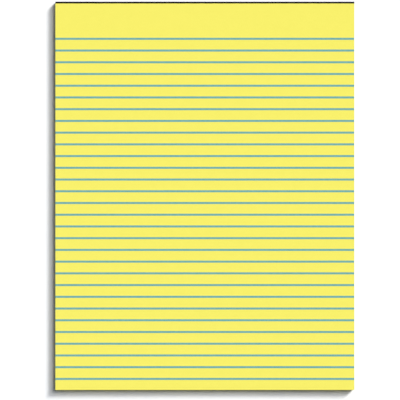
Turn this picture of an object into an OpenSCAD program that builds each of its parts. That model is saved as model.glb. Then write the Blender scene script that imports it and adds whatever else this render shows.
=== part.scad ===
// Ruled writing pad bound with glue along its head.
// Loose sheets lie on a stiff backing board, and one film of padding glue on
// their head edges holds the whole pad together.
// The pad lies on its board, with its head towards +Y and its width along X.
// All sizes are in millimetres.

/* [Sheets] */
// Width of a sheet
sheet_w = 215.9; // [100:0.1:300]
// Length of a sheet from head to tail
sheet_l = 279.4; // [120:0.1:400]
// Thickness of one sheet, with the air that it traps
sheet_t = 0.1; // [0.06:0.01:0.2]
// Number of sheets in the block
sheet_count = 50; // [10:1:100]
// Furthest that a sheet stands back from the trimmed edges
stagger = 0.15; // [0.05:0.01:0.4]

/* [Ruling] */
// Head edge of the sheet to the middle of the first rule
header_l = 25.8; // [10:0.1:60]
// Spacing of the rules
rule_pitch = 8.47; // [5:0.01:12]
// Width of one printed rule
rule_w = 1.5; // [0.2:0.1:2]
// Thickness of the ink on the paper
ink_t = 0.05; // [0.02:0.01:0.1]

/* [Backing board] */
// Thickness of the board
board_t = 0.75; // [0.5:0.05:2]

/* [Head binding] */
// Thickness of the glue film halfway up the pad
glue_t = 1.1; // [0.6:0.05:2]
// How far the film bulges between its two cut edges
glue_bulge = 0.06; // [0.02:0.01:0.3]

/* [Hidden] */

// The origin is under the middle of the pad, glue film included
pad_h = board_t + sheet_count * sheet_t;
pad_l = sheet_l + glue_t;
tail_y = -pad_l / 2;
head_y = tail_y + sheet_l;
left_x = -sheet_w / 2;

// A last rule is printed only if at least this share of a space stays under it
least_tail_space = 0.5;
rule_count = 1 + floor((sheet_l - header_l) / rule_pitch - least_tail_space);

// How far each sheet stands back at its three trimmed edges, bottom sheet first.
// Every list has its own seed, and the top sheet keeps its full size.
function standing_back(seed) =
    [for (d = rands(0, stagger, sheet_count - 1, seed)) d, 0];
left_back = standing_back(3);
right_back = standing_back(5);
tail_back = standing_back(8);

// The film's outer face is an arc through its two edges and its thickest point
glue_arc_r = (pow(pad_h / 2, 2) + pow(glue_bulge, 2)) / (2 * glue_bulge);

// Chipboard, cut flush with the sheets
module backing_board()
    color("#A2988A")
    translate([left_x, tail_y, 0])
        cube([sheet_w, sheet_l, board_t]);

// The sheets, flush where they are glued and a little out of line elsewhere
module sheet_block()
    color("#FBF16B")
    for (k = [0 : sheet_count - 1])
        translate([left_x + left_back[k], tail_y + tail_back[k], board_t + k * sheet_t])
            cube([sheet_w - left_back[k] - right_back[k], sheet_l - tail_back[k], sheet_t]);

// Section of the glue film: flat against the sheets and bulging outwards
module glue_section()
    intersection() {
        square([glue_t, pad_h]);
        translate([glue_t - glue_arc_r, pad_h / 2])
            circle(r = glue_arc_r, $fn = 720);
    }

// The film covers the head edges of the sheets and of the board
module glue_binding()
    color("#0D0C0B")
    translate([left_x, head_y, 0])
        rotate([90, 0, 90])
            linear_extrude(sheet_w)
                glue_section();

// Rules on the top sheet, printed from edge to edge
module printed_rules()
    color("#72AEAC")
    for (k = [0 : rule_count - 1])
        translate([left_x, head_y - header_l - k * rule_pitch - rule_w / 2, pad_h])
            cube([sheet_w, rule_w, ink_t]);

backing_board();
sheet_block();
glue_binding();
printed_rules();
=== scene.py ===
"""Ruled writing pad: yellow leaves on a grey board, bound with black glue along their head."""

import math
import random

import bmesh
import bpy
from mathutils import Matrix, Vector, noise


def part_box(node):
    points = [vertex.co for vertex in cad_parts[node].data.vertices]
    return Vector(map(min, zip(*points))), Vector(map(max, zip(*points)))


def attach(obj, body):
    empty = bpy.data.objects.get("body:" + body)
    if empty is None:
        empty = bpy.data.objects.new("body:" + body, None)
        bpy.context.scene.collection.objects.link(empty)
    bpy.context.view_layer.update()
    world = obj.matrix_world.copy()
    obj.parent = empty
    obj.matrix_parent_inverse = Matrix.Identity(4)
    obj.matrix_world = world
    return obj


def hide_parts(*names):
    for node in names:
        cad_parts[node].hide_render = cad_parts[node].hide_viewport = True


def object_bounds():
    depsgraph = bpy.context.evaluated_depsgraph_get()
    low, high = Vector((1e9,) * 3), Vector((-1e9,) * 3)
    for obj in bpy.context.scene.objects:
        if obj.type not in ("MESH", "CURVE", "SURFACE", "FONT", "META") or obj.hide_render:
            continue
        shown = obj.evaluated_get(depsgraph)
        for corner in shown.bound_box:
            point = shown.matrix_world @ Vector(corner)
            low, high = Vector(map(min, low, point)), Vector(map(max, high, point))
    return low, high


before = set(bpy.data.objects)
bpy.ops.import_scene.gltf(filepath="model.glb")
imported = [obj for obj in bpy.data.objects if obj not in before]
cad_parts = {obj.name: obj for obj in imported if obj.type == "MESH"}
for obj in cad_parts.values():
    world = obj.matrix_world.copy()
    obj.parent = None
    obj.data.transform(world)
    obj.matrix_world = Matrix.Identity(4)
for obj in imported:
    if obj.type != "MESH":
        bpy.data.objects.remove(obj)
cad_low, cad_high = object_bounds()

# Backing board
# A stiff sheet of grey chipboard, pressed from waste paper and cut together with the
# leaves by one stroke of the guillotine. The glue on its head edge holds it under them.
MM = 0.001
board_low, board_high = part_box("backing_board")
knife_round = 0.1 * MM


def box_between(mesh, low, high):
    """Adds a box between two corners to a mesh in the making."""
    place = Matrix.Translation((low + high) / 2) @ Matrix.Diagonal((*(high - low), 1))
    bmesh.ops.create_cube(mesh, size=1, matrix=place)


def finished(name, mesh, *materials):
    """Turns a mesh in the making into a piece at the origin that wears these materials."""
    data = bpy.data.meshes.new(name)
    mesh.to_mesh(data)
    mesh.free()
    for material in materials:
        data.materials.append(material)
    piece = bpy.data.objects.new(name, data)
    bpy.context.scene.collection.objects.link(piece)
    return piece


def linear(colour):
    """Linear red, green, blue and alpha of an sRGB colour such as #A2988A."""
    shares = [int(colour[k : k + 2], 16) / 255 for k in (1, 3, 5)]
    return *(s / 12.92 if s <= 0.04045 else ((s + 0.055) / 1.055) ** 2.4 for s in shares), 1


def add(tree, kind, inputs, **settings):
    """Adds a node with its settings, and gives each input its value or a link from an output.

    Inputs that share a name go by number. A Mix of colours takes its share at 0 and its two
    colours at 6 and 7, and comes out at 2.
    """
    node = tree.nodes.new("ShaderNode" + kind)
    for name, value in settings.items():
        setattr(node, name, value)
    for socket, value in inputs.items():
        if isinstance(value, bpy.types.NodeSocket):
            tree.links.new(value, node.inputs[socket])
        else:
            node.inputs[socket].default_value = value
    return node


def new_finish(name):
    """A new material, its nodes, its shader, and the place on the piece that its patterns read."""
    material = bpy.data.materials.new(name)
    material.use_nodes = True
    tree = material.node_tree
    place = add(tree, "TexCoord", {}).outputs["Object"]
    return material, tree, tree.nodes["Principled BSDF"], place


# Chipboard: short waste fibres, most of them grey and some dark or pale, in a matt uncoated
# face. The fibres are drawn about twice too coarse, so that they show. The cut edges are rougher
# than the faces, and they are painted darker, as painted shade for the light that their fibres trap.
chipboard, tree, shader, place = new_finish("grey_chipboard")
cloud = add(tree, "TexNoise", {"Vector": place, "Scale": 1 / (11 * MM), "Detail": 4})
ground = add(
    tree, "Mix", {0: cloud.outputs[0], 6: linear("#968B7D"), 7: linear("#ADA395")}, data_type="RGBA"
)
grit = add(tree, "TexNoise", {"Vector": place, "Scale": 1 / (0.8 * MM), "Detail": 2})
dark = add(
    tree, "MapRange", {"Value": grit.outputs[0], "From Min": 0.58, "From Max": 0.72, "To Max": 0.45}
)
darkened = add(
    tree, "Mix", {0: dark.outputs[0], 6: ground.outputs[2], 7: linear("#5F564B")}, data_type="RGBA"
)
combed = add(tree, "Mapping", {"Vector": place, "Rotation": (0, 0, 0.4), "Scale": (1, 4, 4)})
strand = add(
    tree, "TexNoise", {"Vector": combed.outputs[0], "Scale": 1 / (2.4 * MM), "Detail": 2}
)
pale = add(
    tree, "MapRange", {"Value": strand.outputs[0], "From Min": 0.6, "From Max": 0.7, "To Max": 0.35}
)
speckled = add(
    tree, "Mix", {0: pale.outputs[0], 6: darkened.outputs[2], 7: linear("#CFC8BC")}, data_type="RGBA"
)
facing = add(tree, "SeparateXYZ", {0: add(tree, "NewGeometry", {}).outputs["Normal"]})
flatness = add(tree, "Math", {0: facing.outputs["Z"]}, operation="ABSOLUTE")
# Painted shade: faces that stand on edge are mixed halfway towards the dark fibre colour.
cut_edge_shade = add(
    tree,
    "MapRange",
    {"Value": flatness.outputs[0], "From Min": 0.3, "From Max": 0.7, "To Min": 0.5, "To Max": 0},
)
shaded = add(
    tree, "Mix", {0: cut_edge_shade.outputs[0], 6: speckled.outputs[2], 7: linear("#5F564B")}, data_type="RGBA"
)
nap = add(
    tree, "Bump", {"Strength": 0.5, "Distance": 0.04 * MM, "Height": grit.outputs[0]}
)
tree.links.new(shaded.outputs[2], shader.inputs["Base Color"])
tree.links.new(nap.outputs[0], shader.inputs["Normal"])
shader.inputs["Roughness"].default_value = 0.95
shader.inputs["Specular IOR Level"].default_value = 0.3

board = bmesh.new()
box_between(board, board_low, board_high)
bmesh.ops.bevel(
    board, geom=board.edges[:], offset=knife_round, affect="EDGES", segments=3, profile=0.5, material=-1
)
board = finished("chipboard_back", board, chipboard)
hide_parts("backing_board")
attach(board, "root")

# Leaves
# Fifty leaves of canary bond, a soft uncoated paper, cut from one stack, so that their edges
# lie nearly in line. Their head is glued fast, and at the free tail the upper leaves relax
# upwards a little, most of all at the corners.
sheets_low, sheets_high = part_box("sheet_block")
sheet_w = sheets_high.x - sheets_low.x
sheet_l = sheets_high.y - sheets_low.y
leaf_pitch = 0.1 * MM
leaf_t = 0.09 * MM
leaf_count = round((sheets_high.z - sheets_low.z) / leaf_pitch)
stagger = 0.15 * MM
lean_period, lean_share, slip_share = 17, 0.3, 0.25
left_lift, right_lift, middle_share = 0.3 * MM, 0.5 * MM, 0.3
cells_across, cells_along = 12, 16

# Gaps open between some of the leaves, the upper ones most, and each gap lifts all above it.
chance = random.Random(4)
gaps = [chance.random() ** 2 * (k / leaf_count) ** 3 for k in range(leaf_count)]
rise = [sum(gaps[: k + 1]) / sum(gaps) for k in range(leaf_count)]


def cut_line():
    """How far each leaf stands back at one cut edge: the stack leans in waves, and leaves slip."""
    turn = chance.uniform(0, math.tau)
    lean = [0.5 + lean_share * math.sin(turn + math.tau * k / lean_period) for k in range(leaf_count)]
    slipped = [share + chance.uniform(-slip_share, slip_share) for share in lean]
    back = [stagger * min(1, max(0, share)) for share in slipped]
    return back[:-1] + [0]


left_back, right_back, tail_back = cut_line(), cut_line(), cut_line()


def lifted(x, y, level):
    """How far the leaf at this level of the stack has lifted at a point."""
    to_tail = (sheets_high.y - y) / sheet_l
    to_side = 2 * abs(x) / sheet_w
    corner = left_lift + (right_lift - left_lift) * (0.5 + x / sheet_w)
    return corner * rise[level] * to_tail**3 * (middle_share + (1 - middle_share) * to_side**2)


def thicken(mesh, depth):
    """Draws the open sheets in a mesh upwards into closed slabs."""
    raised = bmesh.ops.extrude_face_region(mesh, geom=mesh.faces[:])["geom"]
    upper = [part for part in raised if isinstance(part, bmesh.types.BMVert)]
    bmesh.ops.translate(mesh, verts=upper, vec=(0, 0, depth))
    bmesh.ops.recalc_face_normals(mesh, faces=mesh.faces[:])


def leaves(levels):
    """The leaves at these levels of the stack, each a closed slab, as one mesh in the making."""
    mesh = bmesh.new()
    for k in levels:
        low = Vector((sheets_low.x + left_back[k], sheets_low.y + tail_back[k], 0))
        high = Vector((sheets_high.x - right_back[k], sheets_high.y, 0))
        foot = Vector((0, 0, sheets_low.z + (k + 1) * leaf_pitch - leaf_t))
        span = Matrix.Translation((low + high) / 2 + foot) @ Matrix.Diagonal((*(high - low), 1))
        underside = bmesh.ops.create_grid(
            mesh, x_segments=cells_across, y_segments=cells_along, size=0.5, matrix=span
        )
        for corner in underside["verts"]:
            corner.co.z += lifted(corner.co.x, corner.co.y, k)
    thicken(mesh, leaf_t)
    for face in mesh.faces:
        face.material_index = int(abs(face.normal.z) < 0.5)
    return mesh


# Canary bond: dyed right through, matt, with a faint cloudiness where the pulp lay thicker
# and a fine tooth. Clouds are at their real size, while fibres and tooth are drawn several times
# too thick, so that they show.
bond, tree, shader, place = new_finish("canary_bond_paper")
cloud = add(
    tree, "TexNoise", {"Vector": place, "Scale": 1 / (7 * MM), "Detail": 3}, noise_dimensions="2D"
)
stretched = add(tree, "Mapping", {"Vector": place, "Scale": (4, 1, 1)})
fibre = add(
    tree,
    "TexNoise",
    {"Vector": stretched.outputs[0], "Scale": 1 / (1.5 * MM), "Detail": 3},
    noise_dimensions="2D",
)
formation = add(
    tree, "Math", {0: cloud.outputs[0], 1: 0.4, 2: fibre.outputs[0]}, operation="MULTIPLY_ADD"
)
thickness = add(tree, "MapRange", {"Value": formation.outputs[0], "From Min": 0.4, "From Max": 1})
dyed = add(
    tree, "Mix", {0: thickness.outputs[0], 6: linear("#E7DD5D"), 7: linear("#EBE162")}, data_type="RGBA"
)
tooth = add(
    tree, "TexNoise", {"Vector": place, "Scale": 1 / (0.5 * MM), "Detail": 3}, noise_dimensions="2D"
)
grain = add(
    tree, "Bump", {"Strength": 0.4, "Distance": 0.012 * MM, "Height": tooth.outputs[0]}
)
tree.links.new(dyed.outputs[2], shader.inputs["Base Color"])
tree.links.new(grain.outputs[0], shader.inputs["Normal"])
shader.inputs["Roughness"].default_value = 0.9
shader.inputs["Specular IOR Level"].default_value = 0.25

# Cut edges of the same paper: each leaf's edge is a fine line, lighter or darker as the knife
# left it, and both colours are painted darker than the face, as painted shade for the gaps
# between the leaves. Every rule reaches the edge, so its ink shows there as a faint tick. The
# lines are drawn several leaves thick, so that they show.
rules_low, rules_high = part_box("printed_rules")
rule_count = 30
rule_w = 1.5 * MM
rule_pitch = (rules_high.y - rules_low.y - rule_w) / (rule_count - 1)
first_rule = rules_high.y - rule_w / 2
last_rule = rules_low.y + rule_w / 2
print_blur = 0.4 * MM
edges, tree, shader, place = new_finish("guillotined_paper_edges")
flattened = add(tree, "Mapping", {"Vector": place, "Scale": (1 / 60, 1 / 60, 1)})
line = add(
    tree, "TexNoise", {"Vector": flattened.outputs[0], "Scale": 1 / (0.7 * MM), "Detail": 3}
)
shade = add(tree, "MapRange", {"Value": line.outputs[0], "From Min": 0.3, "From Max": 0.7})
# Painted shade: both edge colours are darker than the face's, for the gaps between the leaves.
leaf_lines_and_gap_shade = add(
    tree, "Mix", {0: shade.outputs[0], 6: linear("#C8B03E"), 7: linear("#EADA5C")}, data_type="RGBA"
)
axes = add(tree, "SeparateXYZ", {0: place})
from_first = add(tree, "Math", {0: first_rule, 1: axes.outputs["Y"]}, operation="SUBTRACT")
off_rule = add(tree, "Math", {0: from_first.outputs[0], 1: rule_pitch / 2}, operation="PINGPONG")
tick = add(
    tree,
    "MapRange",
    {
        "Value": off_rule.outputs[0],
        "From Min": rule_w / 2 - print_blur,
        "From Max": rule_w / 2 + print_blur,
        "To Min": 0.4,
        "To Max": 0,
    },
)
under_first = add(
    tree, "Math", {0: from_first.outputs[0], 1: -rule_pitch / 2}, operation="GREATER_THAN"
)
over_last = add(
    tree,
    "Math",
    {0: from_first.outputs[0], 1: first_rule - last_rule + rule_pitch / 2},
    operation="LESS_THAN",
)
ruled = add(
    tree, "Math", {0: under_first.outputs[0], 1: over_last.outputs[0]}, operation="MULTIPLY"
)
inked = add(tree, "Math", {0: tick.outputs[0], 1: ruled.outputs[0]}, operation="MULTIPLY")
ticked = add(
    tree, "Mix", {0: inked.outputs[0], 6: leaf_lines_and_gap_shade.outputs[2], 7: linear("#6AA2A0")}, data_type="RGBA"
)
tree.links.new(ticked.outputs[2], shader.inputs["Base Color"])
shader.inputs["Roughness"].default_value = 0.95
shader.inputs["Specular IOR Level"].default_value = 0.2

# On the stack's map for baking, each cut edge is a tall strip, because in proportion one leaf's
# edge would be too thin to hold any colour. The faces between the leaves share one place.
faces_share, edge_share, strip_fill = 0.28, 0.24, 0.9
under_leaves = leaves(range(leaf_count - 1))
bake_map = under_leaves.loops.layers.uv.new("OFBake")
for face in under_leaves.faces:
    for corner in face.loops:
        across = (corner.vert.co.x - sheets_low.x) / sheet_w
        along = (corner.vert.co.y - sheets_low.y) / sheet_l
        level = (corner.vert.co.z - sheets_low.z) / (sheets_high.z - sheets_low.z)
        if abs(face.normal.x) > 0.5:
            strip = 0 if face.normal.x < 0 else 1
            corner[bake_map].uv = (along, faces_share + (strip + strip_fill * level) * edge_share)
        elif abs(face.normal.y) > 0.5:
            corner[bake_map].uv = (across, faces_share + (2 + strip_fill * level) * edge_share)
        else:
            corner[bake_map].uv = (across, strip_fill * along * faces_share)
under_leaves = finished("leaf_stack", under_leaves, bond, edges)
top_leaf = finished("top_leaf", leaves([leaf_count - 1]), bond, edges)
for piece in (under_leaves, top_leaf):
    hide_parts("sheet_block")
    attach(piece, "root")

# Printed rules
# Thirty greenish blue lines, offset printed from edge to edge of every leaf before the stack is
# cut. Those on the top leaf are modelled as the film of ink that lies on it, many times thicker
# than real ink, so that it stays clear of the paper.
ink_t = 0.02 * MM

# Offset ink: thin and matt, so that the yellow under it turns its blue greenish, and paler where
# the paper took less of it.
ink, tree, shader, place = new_finish("thin_blue_offset_ink")
patch = add(
    tree, "TexNoise", {"Vector": place, "Scale": 1 / (2.5 * MM), "Detail": 3}, noise_dimensions="2D"
)
cover = add(tree, "MapRange", {"Value": patch.outputs[0], "From Min": 0.3, "From Max": 0.7})
printed = add(
    tree, "Mix", {0: cover.outputs[0], 6: linear("#6EA5A2"), 7: linear("#659F9E")}, data_type="RGBA"
)
tree.links.new(printed.outputs[2], shader.inputs["Base Color"])
shader.inputs["Roughness"].default_value = 0.8
shader.inputs["Specular IOR Level"].default_value = 0.25

rules = bmesh.new()
for k in range(rule_count):
    middle = Vector((0, first_rule - k * rule_pitch, rules_low.z))
    span = Matrix.Translation(middle) @ Matrix.Diagonal((sheet_w, rule_w, 1, 1))
    bmesh.ops.create_grid(rules, x_segments=cells_across, y_segments=1, size=0.5, matrix=span)
for corner in rules.verts:
    corner.co.z += lifted(corner.co.x, corner.co.y, leaf_count - 1)
thicken(rules, ink_t)
rules = finished("ink_rules", rules, ink)
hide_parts("printed_rules")
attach(rules, "root")

# Head binding
# Black padding glue, brushed along the head edges of the clamped stack. It dries to a rubbery
# film that bulges a little, shows the brush strokes and holds leaves and board together. A fine
# rim of it has crept over the head of the top leaf.
glue_low, glue_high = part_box("glue_binding")
film_t = glue_high.y - glue_low.y
film_bulge = 0.06 * MM
film_h = glue_high.z - glue_low.z
stations, rows = 160, 12
stroke_l, stroke_w, stroke_depth = 26 * MM, 0.9 * MM, 0.03 * MM
rim_w, rim_t, rim_wave, rim_ripple = 0.28 * MM, 0.03 * MM, 5 * MM, 0.25
edge_round = 0.12 * MM
sharp_angle = math.radians(40)


def film_thickness(x, z):
    """How thick the film is at a point of the head: a bulge with brush strokes along it."""
    off_middle = 2 * (z - (glue_low.z + glue_high.z) / 2) / film_h
    stroke = noise.noise((x / stroke_l, z / stroke_w, 0))
    return film_t - film_bulge * off_middle**2 + stroke_depth * stroke


# The film is a box, cut into a fine grid. The row of its back that stands above the leaves, which
# is too low to be cut again, is drawn out over the top leaf.
film = bmesh.new()
box_between(film, glue_low, glue_high + Vector((0, 0, rim_t)))
back = next(face for face in film.faces if face.normal.y < -0.5)
bmesh.ops.bisect_plane(
    film, geom=[back, *back.edges, *back.verts], plane_co=glue_high, plane_no=(0, 0, 1)
)
for axis, cuts in ((0, stations - 1), (2, rows - 1)):
    lengthwise = [e for e in film.edges if abs((e.verts[1].co - e.verts[0].co)[axis]) > 2 * rim_t]
    bmesh.ops.subdivide_edges(film, edges=lengthwise, cuts=cuts, use_grid_fill=True)
for corner in film.verts:
    if corner.co.y > (glue_low.y + glue_high.y) / 2:
        corner.co.y = glue_low.y + film_thickness(corner.co.x, corner.co.z)
lip = [f for f in film.faces if f.normal.y < -0.5 and f.calc_center_median().z > glue_high.z]
for part in bmesh.ops.extrude_face_region(film, geom=lip)["geom"]:
    if isinstance(part, bmesh.types.BMVert):
        part.co.y -= rim_w * (1 + rim_ripple * noise.noise((part.co.x / rim_wave, 0, 0)))
bmesh.ops.delete(film, geom=lip, context="FACES")
film.normal_update()
outer = [
    e
    for e in film.edges
    if any(f.normal.y > 0.5 for f in e.link_faces) and any(abs(f.normal.z) > 0.5 for f in e.link_faces)
]
bmesh.ops.bevel(
    film, geom=outer, offset=edge_round, affect="EDGES", segments=3, profile=0.5, material=-1
)
for face in film.faces:
    face.smooth = True
for edge in film.edges:
    edge.smooth = edge.calc_face_angle(0) < sharp_angle

# Padding glue: black, flexible and satin. The leaves' edges show through it as faint lines,
# drawn several leaves apart so that they show.
glue, tree, shader, place = new_finish("black_padding_glue")
flattened = add(tree, "Mapping", {"Vector": place, "Scale": (1 / 40, 1, 1)})
strokes = add(
    tree, "TexNoise", {"Vector": flattened.outputs[0], "Scale": 1 / (0.5 * MM), "Detail": 2}
)
tint = add(
    tree, "Mix", {0: strokes.outputs[0], 6: linear("#050404"), 7: linear("#0B0A09")}, data_type="RGBA"
)
shine = add(
    tree,
    "MapRange",
    {"Value": strokes.outputs[0], "From Min": 0.3, "From Max": 0.7, "To Min": 0.2, "To Max": 0.5},
)
ridges = add(
    tree, "Bump", {"Strength": 1, "Distance": 0.07 * MM, "Height": strokes.outputs[0]}
)
tree.links.new(tint.outputs[2], shader.inputs["Base Color"])
tree.links.new(shine.outputs[0], shader.inputs["Roughness"])
tree.links.new(ridges.outputs[0], shader.inputs["Normal"])
shader.inputs["Specular IOR Level"].default_value = 0.15
film = finished("glue_film", film, glue)
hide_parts("glue_binding")
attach(film, "root")

# Floor
# A plain table, painted matt white and large enough to run to the horizon. Its top lies a hair
# below the board, so that the two never share a plane.
floor_half = 40
floor_drop = 0.02 * MM
floor = bmesh.new()
bmesh.ops.create_grid(floor, x_segments=1, y_segments=1, size=floor_half)
bmesh.ops.translate(floor, verts=floor.verts[:], vec=(0, 0, -floor_drop))
white, _, shader, _ = new_finish("matt_white_table")
shader.inputs["Base Color"].default_value = linear("#F3F3F3")
shader.inputs["Roughness"].default_value = 1
shader.inputs["Specular IOR Level"].default_value = 0
floor = finished("floor", floor, white)

# Light
# Two soft lights stand one over the other at the upper right. A dim sky fills the shade, and
# is white only along the horizon.
light_azimuth = math.radians(43.5)
for name, zenith, width, strength in (("high", 37, 36, 2.15), ("low", 56, 16, 3.0)):
    lamp = bpy.data.lights.new(name + "_softbox", "SUN")
    lamp.angle = math.radians(width)
    lamp.energy = strength
    lamp = bpy.data.objects.new(lamp.name, lamp)
    lamp.rotation_euler = (0, math.radians(zenith), light_azimuth)
    bpy.context.scene.collection.objects.link(lamp)

white_below, dim_above = 0.045, 0.13
sky = bpy.data.worlds.new("studio")
sky.use_nodes = True
tree = sky.node_tree
direction = add(tree, "TexCoord", {}).outputs["Generated"]
height = add(tree, "SeparateXYZ", {0: direction}).outputs["Z"]
overhead = add(tree, "MapRange", {"Value": height, "From Min": white_below, "From Max": dim_above})
colours = add(
    tree, "Mix", {0: overhead.outputs[0], 6: linear("#FFFFFF"), 7: linear("#4C5562")}, data_type="RGBA"
)
tree.links.new(colours.outputs[2], tree.nodes["Background"].inputs["Color"])
tree.nodes["Background"].inputs["Strength"].default_value = 1.1
bpy.context.scene.world = sky
bpy.context.scene.view_settings.view_transform = "Standard"

# Camera
# It looks straight down through a long lens. The pad's place in the picture gives its place.
picture_px = 400
pad_left_px, pad_right_px = 55.5, 354.2
pad_head_px, pad_tail_px = 1.65, 390.2
head = cad_high.y - film_bulge
across_px = sheet_w / (pad_right_px - pad_left_px)
along_px = (head - cad_low.y) / (pad_tail_px - pad_head_px)
px = (across_px + along_px) / 2
lens = bpy.data.cameras.new("camera")
lens.lens = 200
lens.sensor_width = 36
camera = bpy.data.objects.new("camera", lens)
camera.location = (
    -((pad_left_px + pad_right_px) / 2 - picture_px / 2) * px,
    head + (pad_head_px - picture_px / 2) * px,
    sheets_high.z + picture_px * px * lens.lens / lens.sensor_width,
)
bpy.context.scene.collection.objects.link(camera)
bpy.context.scene.camera = camera
